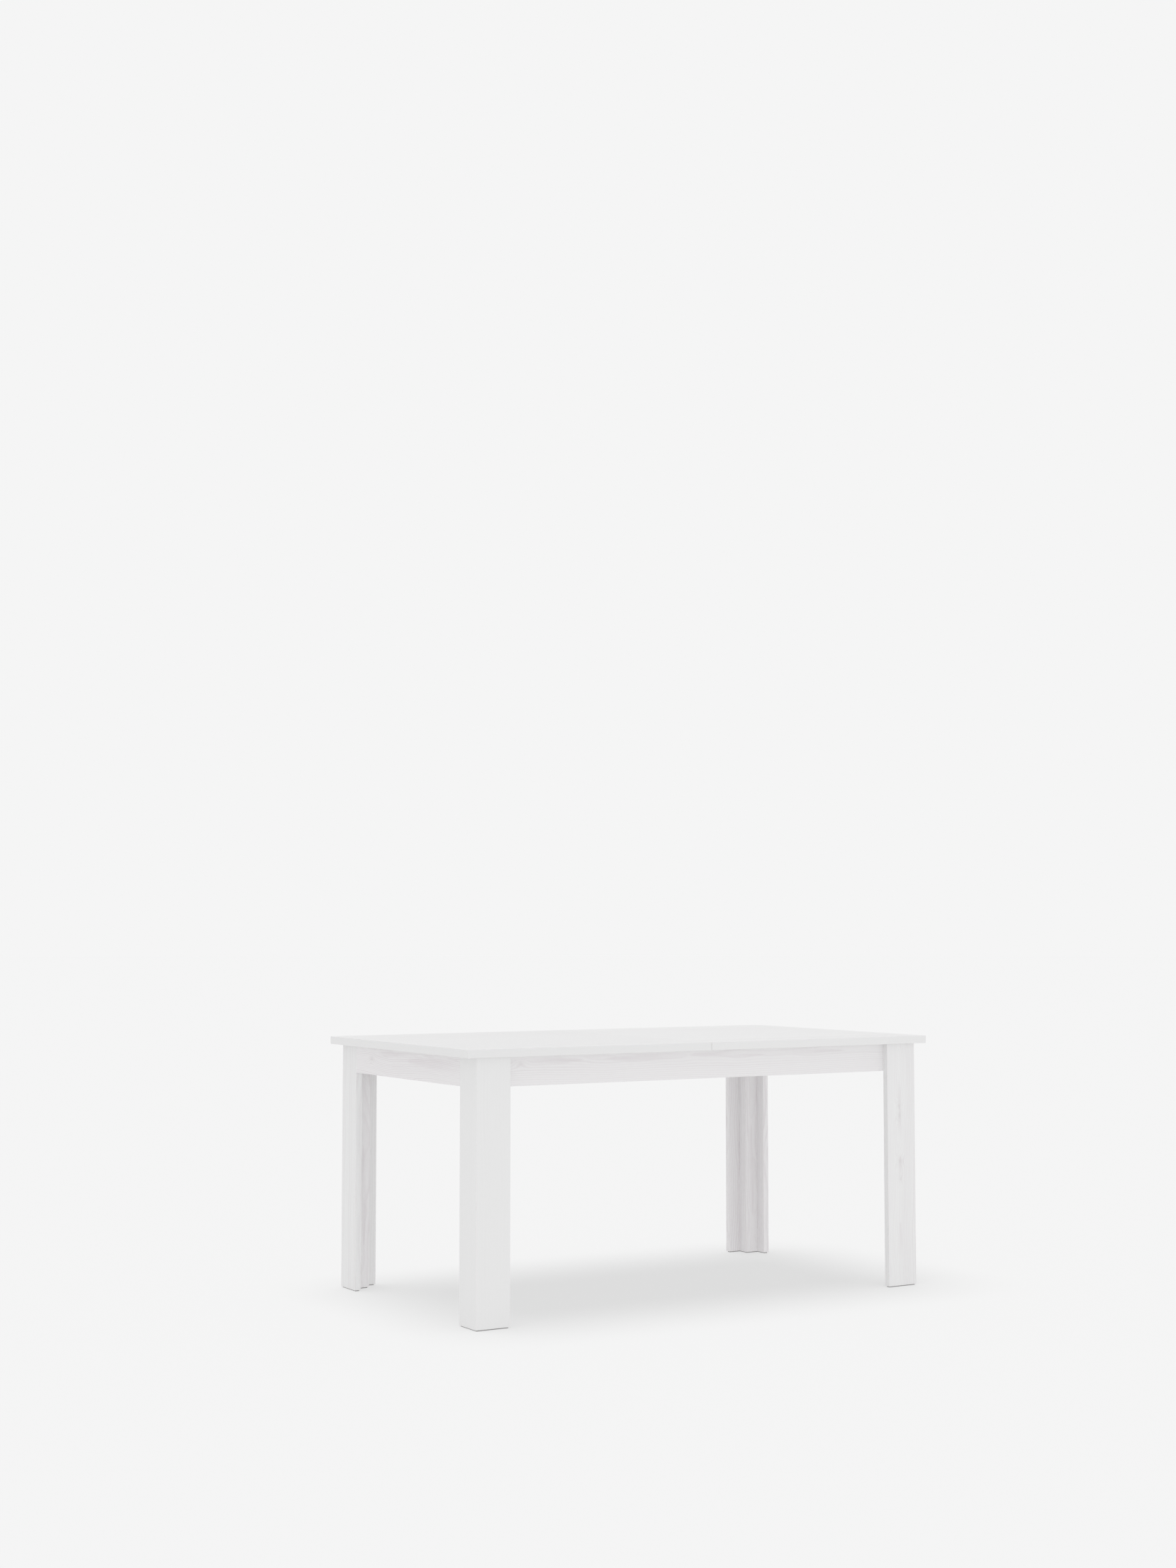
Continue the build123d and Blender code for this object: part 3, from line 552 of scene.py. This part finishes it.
# ================================================================ stage
def make_floor():
    """A wide matt disc that glows a little, so shadows on it stay pale; clear from underneath."""
    bpy.ops.mesh.primitive_circle_add(vertices=96, radius=FLOOR_RADIUS, fill_type="NGON")
    floor = bpy.context.object
    floor.name = "floor"
    material = bpy.data.materials.new("floor")
    material.use_nodes = True
    graph = Graph(material.node_tree)
    graph.nodes.clear()
    diffuse = graph.nodes.new("ShaderNodeBsdfDiffuse")
    diffuse.inputs["Color"].default_value = (FLOOR_ALBEDO, FLOOR_ALBEDO, FLOOR_ALBEDO, 1.0)
    glow = graph.nodes.new("ShaderNodeEmission")
    glow.inputs["Color"].default_value = (1.0, 1.0, 1.0, 1.0)
    glow.inputs["Strength"].default_value = FLOOR_GLOW
    both = graph.nodes.new("ShaderNodeAddShader")
    side = graph.nodes.new("ShaderNodeNewGeometry")
    clear = graph.nodes.new("ShaderNodeBsdfTransparent")
    one_way = graph.nodes.new("ShaderNodeMixShader")
    output = graph.nodes.new("ShaderNodeOutputMaterial")
    graph.links.new(diffuse.outputs[0], both.inputs[0])
    graph.links.new(glow.outputs[0], both.inputs[1])
    graph.links.new(side.outputs["Backfacing"], one_way.inputs[0])
    graph.links.new(both.outputs[0], one_way.inputs[1])
    graph.links.new(clear.outputs[0], one_way.inputs[2])
    graph.links.new(one_way.outputs[0], output.inputs[0])
    floor.data.materials.append(material)
    return floor


def sun(name, strength, spread, towards):
    """A light from very far away, shining in one direction."""
    data = bpy.data.lights.new(name, "SUN")
    data.energy = strength
    data.angle = spread
    light = bpy.data.objects.new(name, data)
    light.rotation_euler = towards.to_track_quat("-Z", "Y").to_euler()
    bpy.context.scene.collection.objects.link(light)
    return light


def make_light(floor):
    """An even pale sky, a soft key from overhead and flat fills from the four sides.

    The fills cast no shadow, and a second overhead light reaches only the floor."""
    world = bpy.data.worlds.new("studio")
    bpy.context.scene.world = world
    world.use_nodes = True
    background = world.node_tree.nodes["Background"]
    background.inputs["Color"].default_value = (1.0, 1.0, 1.0, 1.0)
    background.inputs["Strength"].default_value = SKY_LIGHT
    sun("key", KEY_LIGHT, KEY_SPREAD, KEY_TOWARDS)
    for name, strength, towards in (
        ("fill_front", FILL_FRONT, (0, 1, 0)),
        ("fill_back", FILL_FRONT, (0, -1, 0)),
        ("fill_left", FILL_SIDE, (1, 0, 0)),
        ("fill_right", FILL_SIDE, (-1, 0, 0)),
    ):
        fill = sun(name, strength, math.radians(40), Vector(towards))
        fill.data.use_shadow = False
    floor_key = sun("floor_key", FLOOR_KEY, FLOOR_KEY_SPREAD, KEY_TOWARDS)
    floor_only = bpy.data.collections.new("floor_only")
    floor_only.objects.link(floor)
    floor_key.light_linking.receiver_collection = floor_only


def make_camera():
    data = bpy.data.cameras.new("camera")
    data.lens = CAMERA_LENS
    data.sensor_width = SENSOR
    camera = bpy.data.objects.new("camera", data)
    camera.location = CAMERA_PLACE
    camera.rotation_euler = (math.pi / 2 + CAMERA_PITCH, 0.0, -CAMERA_YAW)
    bpy.context.scene.collection.objects.link(camera)
    bpy.context.scene.camera = camera


def plain_colours():
    """Colours go to the image as they are, with no film look."""
    settings = bpy.context.scene.view_settings
    settings.view_transform = "Standard"
    settings.look = "None"
    settings.exposure = 0.0
    settings.gamma = 1.0


dress_nodes()
make_light(make_floor())
make_camera()
plain_colours()
